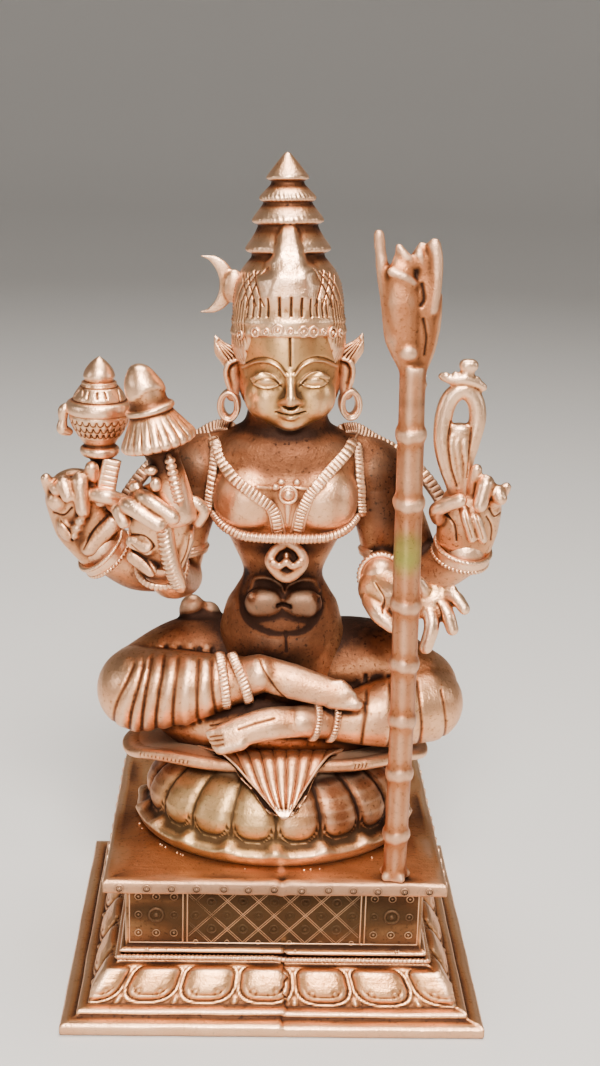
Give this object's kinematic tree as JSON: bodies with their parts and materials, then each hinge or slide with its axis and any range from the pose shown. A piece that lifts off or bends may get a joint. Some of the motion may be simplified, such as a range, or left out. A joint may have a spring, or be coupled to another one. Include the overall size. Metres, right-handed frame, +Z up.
{
  "type": "seated goddess idol on a plinth",
  "caption": "Small cast copper idol of a four-armed seated goddess on a lotus and stepped plinth, with raised attributes and a tall sugarcane stalk before her hand",
  "frame": {"origin": "middle of the flat underside of the plinth", "axes": "+Z up, the goddess faces -Y, and +X is her left side"},
  "size_m": [0.0842, 0.07, 0.1525],
  "materials": {
    "plinth_copper": "brushed and worn copper, olive-brown patina in the recessed courses",
    "red_copper": "polished red copper on the raised parts, dark brown patina in the hollows",
    "cane_copper": "satin orange copper with a small green stain half way up"
  },
  "bodies": {
    "root": {"plinth": "plinth_copper", "figure": "red_copper", "sugarcane": "cane_copper"}
  },
  "joints": []
}
